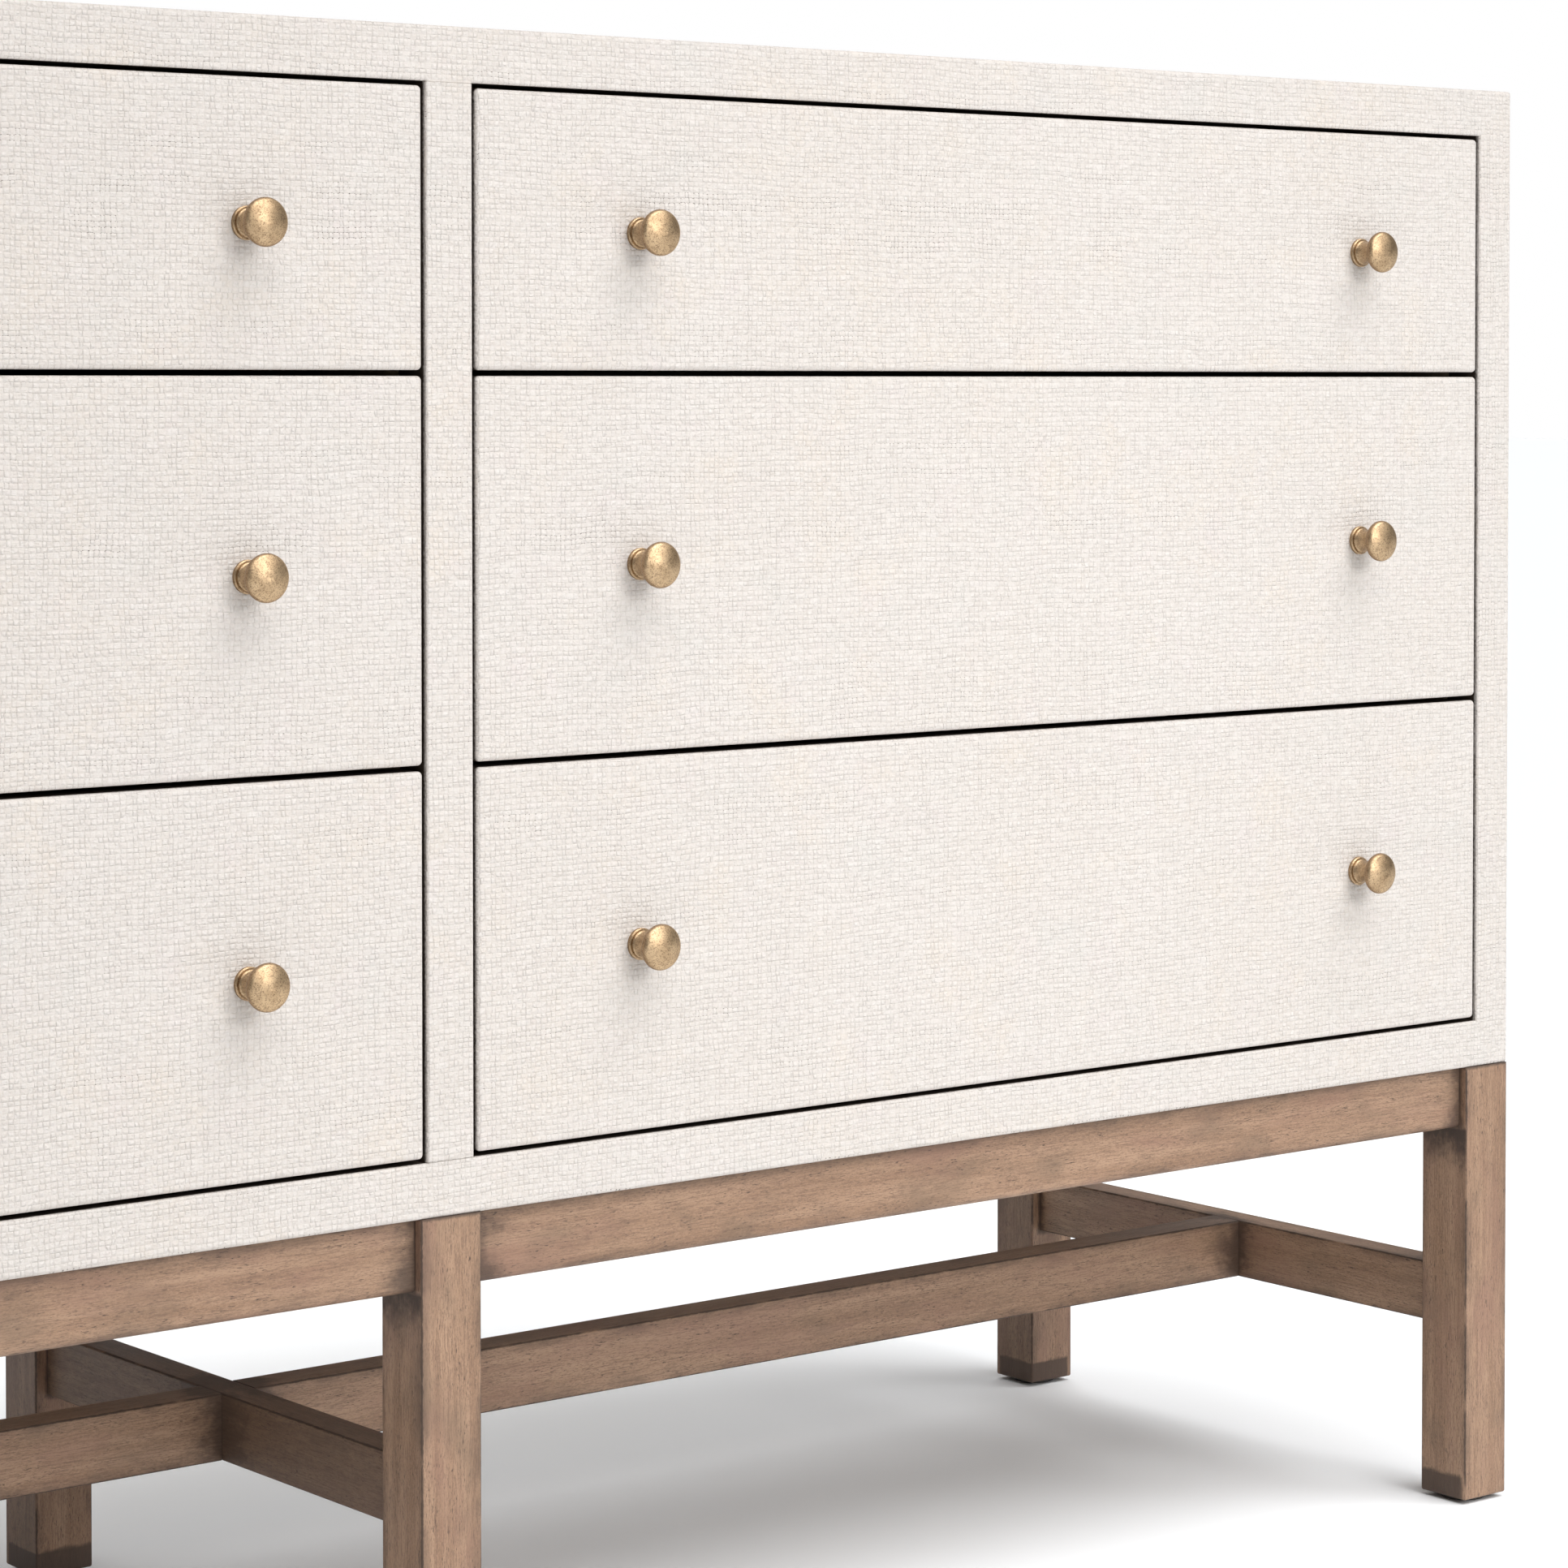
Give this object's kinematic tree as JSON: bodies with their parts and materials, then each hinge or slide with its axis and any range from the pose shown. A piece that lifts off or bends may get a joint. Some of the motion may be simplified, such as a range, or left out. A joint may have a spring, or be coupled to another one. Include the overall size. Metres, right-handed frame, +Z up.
{
  "type": "dresser with drawers",
  "caption": "Low dresser wrapped in woven raffia, with side-by-side stacks of inset drawers, small brass knobs and a brown wood base of square legs, aprons and stretchers.",
  "frame": {"origin": "on the floor, at the middle of the overall width and depth, knobs included", "axes": "+Z up, +X along the width to the right as the drawers are faced, +Y from the drawer fronts to the back"},
  "size_m": [1.63, 0.474, 0.9],
  "materials": {
    "raffia_board": "matte woven raffia wrap, off-white, glued over board",
    "base_wood": "satin brown stain with darker glaze",
    "drawer_box_wood": "satin clear lacquer",
    "back_board": "matte",
    "antique_brass": "satin antique",
    "zinc_steel": "zinc plated",
    "dark_glide": "matte"
  },
  "bodies": {
    "case": {"back_panel": "back_board", "base_screws": "zinc_steel", "bottom_panel": "raffia_board", "centre_divider": "raffia_board", "cross_rail_left": "base_wood", "cross_rail_middle": "base_wood", "cross_rail_right": "base_wood", "cross_stretcher_left": "base_wood", "cross_stretcher_middle": "base_wood", "cross_stretcher_right": "base_wood", "foot_glides": "dark_glide", "front_apron_left": "base_wood", "front_apron_right": "base_wood", "left_side_panel": "raffia_board", "leg_front_left": "base_wood", "leg_front_middle": "base_wood", "leg_front_right": "base_wood", "leg_rear_left": "base_wood", "leg_rear_middle": "base_wood", "leg_rear_right": "base_wood", "long_stretcher_left": "base_wood", "long_stretcher_right": "base_wood", "rear_apron_left": "base_wood", "rear_apron_right": "base_wood", "right_side_panel": "raffia_board", "slide_case_members": "zinc_steel", "top_panel": "raffia_board"},
    "drawer_top_left": {"drawer_top_left_box": "drawer_box_wood", "drawer_top_left_front": "raffia_board", "drawer_top_left_knobs": "antique_brass", "drawer_top_left_slide_inner": "zinc_steel"},
    "drawer_top_left_slide": {"drawer_top_left_slide_middle": "zinc_steel"},
    "drawer_top_right": {"drawer_top_right_box": "drawer_box_wood", "drawer_top_right_front": "raffia_board", "drawer_top_right_knobs": "antique_brass", "drawer_top_right_slide_inner": "zinc_steel"},
    "drawer_top_right_slide": {"drawer_top_right_slide_middle": "zinc_steel"},
    "drawer_middle_left": {"drawer_middle_left_box": "drawer_box_wood", "drawer_middle_left_front": "raffia_board", "drawer_middle_left_knobs": "antique_brass", "drawer_middle_left_slide_inner": "zinc_steel"},
    "drawer_middle_left_slide": {"drawer_middle_left_slide_middle": "zinc_steel"},
    "drawer_middle_right": {"drawer_middle_right_box": "drawer_box_wood", "drawer_middle_right_front": "raffia_board", "drawer_middle_right_knobs": "antique_brass", "drawer_middle_right_slide_inner": "zinc_steel"},
    "drawer_middle_right_slide": {"drawer_middle_right_slide_middle": "zinc_steel"},
    "drawer_bottom_left": {"drawer_bottom_left_box": "drawer_box_wood", "drawer_bottom_left_front": "raffia_board", "drawer_bottom_left_knobs": "antique_brass", "drawer_bottom_left_slide_inner": "zinc_steel"},
    "drawer_bottom_left_slide": {"drawer_bottom_left_slide_middle": "zinc_steel"},
    "drawer_bottom_right": {"drawer_bottom_right_box": "drawer_box_wood", "drawer_bottom_right_front": "raffia_board", "drawer_bottom_right_knobs": "antique_brass", "drawer_bottom_right_slide_inner": "zinc_steel"},
    "drawer_bottom_right_slide": {"drawer_bottom_right_slide_middle": "zinc_steel"}
  },
  "joints": [
    {"name": "drawer_top_left_open", "type": "slide", "parent": "case", "child": "drawer_top_left", "axis": [0, -1, 0], "range_m": [0, 0.38]},
    {"name": "drawer_top_left_slide_travel", "type": "slide", "parent": "case", "child": "drawer_top_left_slide", "axis": [0, -1, 0], "range_m": [0, 0.19]},
    {"name": "drawer_top_right_open", "type": "slide", "parent": "case", "child": "drawer_top_right", "axis": [0, -1, 0], "range_m": [0, 0.38]},
    {"name": "drawer_top_right_slide_travel", "type": "slide", "parent": "case", "child": "drawer_top_right_slide", "axis": [0, -1, 0], "range_m": [0, 0.19]},
    {"name": "drawer_middle_left_open", "type": "slide", "parent": "case", "child": "drawer_middle_left", "axis": [0, -1, 0], "range_m": [0, 0.38]},
    {"name": "drawer_middle_left_slide_travel", "type": "slide", "parent": "case", "child": "drawer_middle_left_slide", "axis": [0, -1, 0], "range_m": [0, 0.19]},
    {"name": "drawer_middle_right_open", "type": "slide", "parent": "case", "child": "drawer_middle_right", "axis": [0, -1, 0], "range_m": [0, 0.38]},
    {"name": "drawer_middle_right_slide_travel", "type": "slide", "parent": "case", "child": "drawer_middle_right_slide", "axis": [0, -1, 0], "range_m": [0, 0.19]},
    {"name": "drawer_bottom_left_open", "type": "slide", "parent": "case", "child": "drawer_bottom_left", "axis": [0, -1, 0], "range_m": [0, 0.38]},
    {"name": "drawer_bottom_left_slide_travel", "type": "slide", "parent": "case", "child": "drawer_bottom_left_slide", "axis": [0, -1, 0], "range_m": [0, 0.19]},
    {"name": "drawer_bottom_right_open", "type": "slide", "parent": "case", "child": "drawer_bottom_right", "axis": [0, -1, 0], "range_m": [0, 0.38]},
    {"name": "drawer_bottom_right_slide_travel", "type": "slide", "parent": "case", "child": "drawer_bottom_right_slide", "axis": [0, -1, 0], "range_m": [0, 0.19]}
  ],
  "couplings": [
    {"joint": "drawer_top_left_slide_travel", "follows": "drawer_top_left_open", "ratio": 0.5},
    {"joint": "drawer_top_right_slide_travel", "follows": "drawer_top_right_open", "ratio": 0.5},
    {"joint": "drawer_middle_left_slide_travel", "follows": "drawer_middle_left_open", "ratio": 0.5},
    {"joint": "drawer_middle_right_slide_travel", "follows": "drawer_middle_right_open", "ratio": 0.5},
    {"joint": "drawer_bottom_left_slide_travel", "follows": "drawer_bottom_left_open", "ratio": 0.5},
    {"joint": "drawer_bottom_right_slide_travel", "follows": "drawer_bottom_right_open", "ratio": 0.5}
  ]
}
